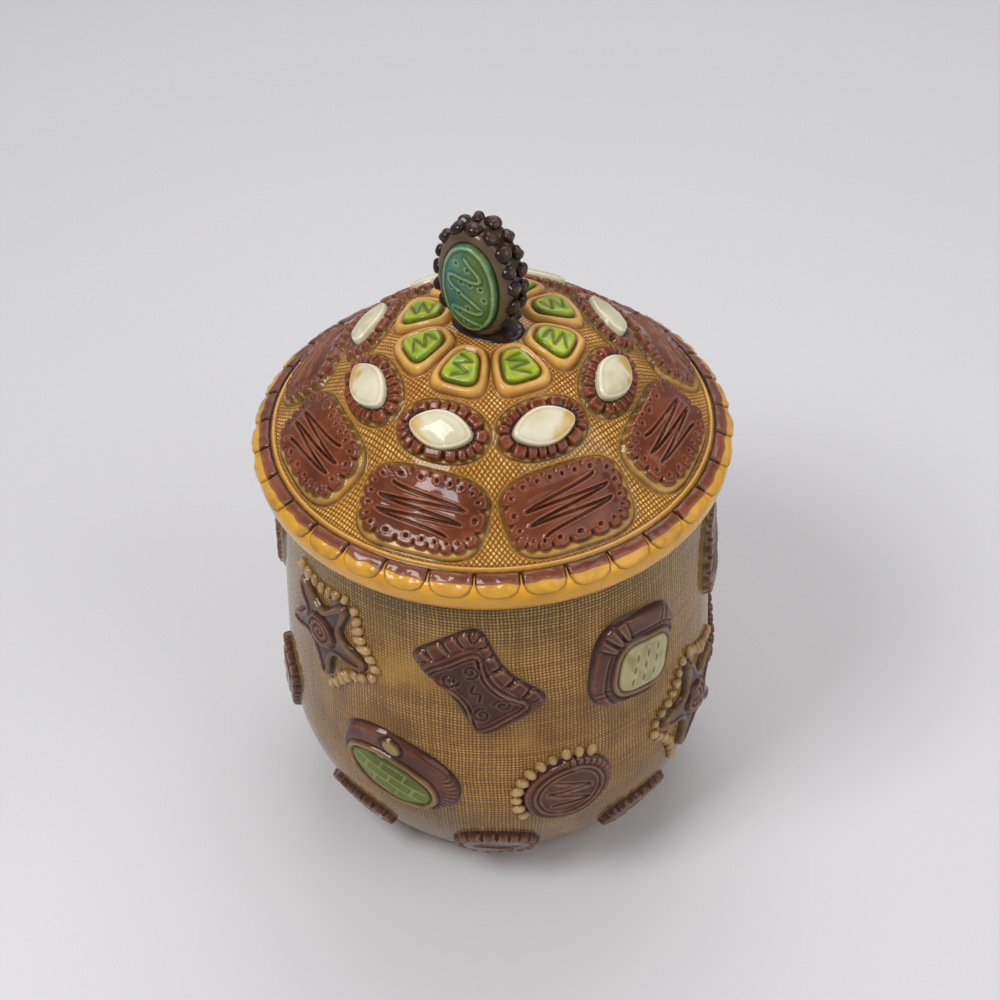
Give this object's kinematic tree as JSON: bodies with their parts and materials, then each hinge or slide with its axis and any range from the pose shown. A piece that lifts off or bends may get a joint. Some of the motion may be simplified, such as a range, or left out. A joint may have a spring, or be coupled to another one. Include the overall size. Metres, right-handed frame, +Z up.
{
  "type": "biscuit jar",
  "caption": "Round glazed jar, widest low down, with a domed lift-off lid. Raised biscuit shapes lie in rows on a woven ground, and the lid's knob is a thick iced biscuit on its edge.",
  "frame": {"origin": "centre of the foot ring, on the plane that the jar stands on", "axes": "+Z up along the jar's axis, the way the lid lifts; -Y is the front that the picture shows; +X is to the viewer's right"},
  "size_m": [0.165, 0.1648, 0.247],
  "materials": {
    "straw_glaze": "high-gloss golden glaze over a coarse woven relief",
    "olive_glaze": "high-gloss olive-brown glaze over a coarse woven relief",
    "cocoa_glaze": "high-gloss dark brown glaze, darker where it pools",
    "cream_glaze": "high-gloss cream glaze with amber pools",
    "lime_glaze": "high-gloss lime green glaze, darker in the cut lines",
    "caramel_glaze": "high-gloss tan glaze",
    "teal_glaze": "high-gloss green to blue-green glaze, paler on raised lines",
    "night_glaze": "high-gloss brown-black glaze"
  },
  "bodies": {
    "jar": {"jar_shell": "olive_glaze", "jar_star_biscuits": "cocoa_glaze", "jar_star_pips": "cream_glaze", "jar_waisted_biscuits": "cocoa_glaze", "jar_square_biscuits": "cocoa_glaze", "jar_square_icings": "cream_glaze", "jar_long_biscuits": "cocoa_glaze", "jar_oval_biscuits": "cocoa_glaze", "jar_oval_jellies": "lime_glaze", "jar_round_biscuits": "cocoa_glaze", "jar_round_pips": "cream_glaze", "jar_dotted_biscuits": "cocoa_glaze", "jar_foot_biscuits": "cocoa_glaze"},
    "lid": {"lid_shell": "straw_glaze", "lid_flange": "straw_glaze", "lid_scallops": "cocoa_glaze", "lid_long_biscuits": "cocoa_glaze", "lid_frilled_biscuits": "cocoa_glaze", "lid_iced_drops": "cream_glaze", "lid_pads": "caramel_glaze", "lid_jellies": "lime_glaze", "knob_biscuit": "night_glaze", "knob_icing_front": "teal_glaze", "knob_icing_back": "teal_glaze", "knob_beads_front": "night_glaze", "knob_beads_back": "night_glaze"}
  },
  "joints": [
    {"name": "lid_lift", "type": "slide", "parent": "jar", "child": "lid", "axis": [0, 0, 1], "range_m": [0, 0.15]}
  ]
}
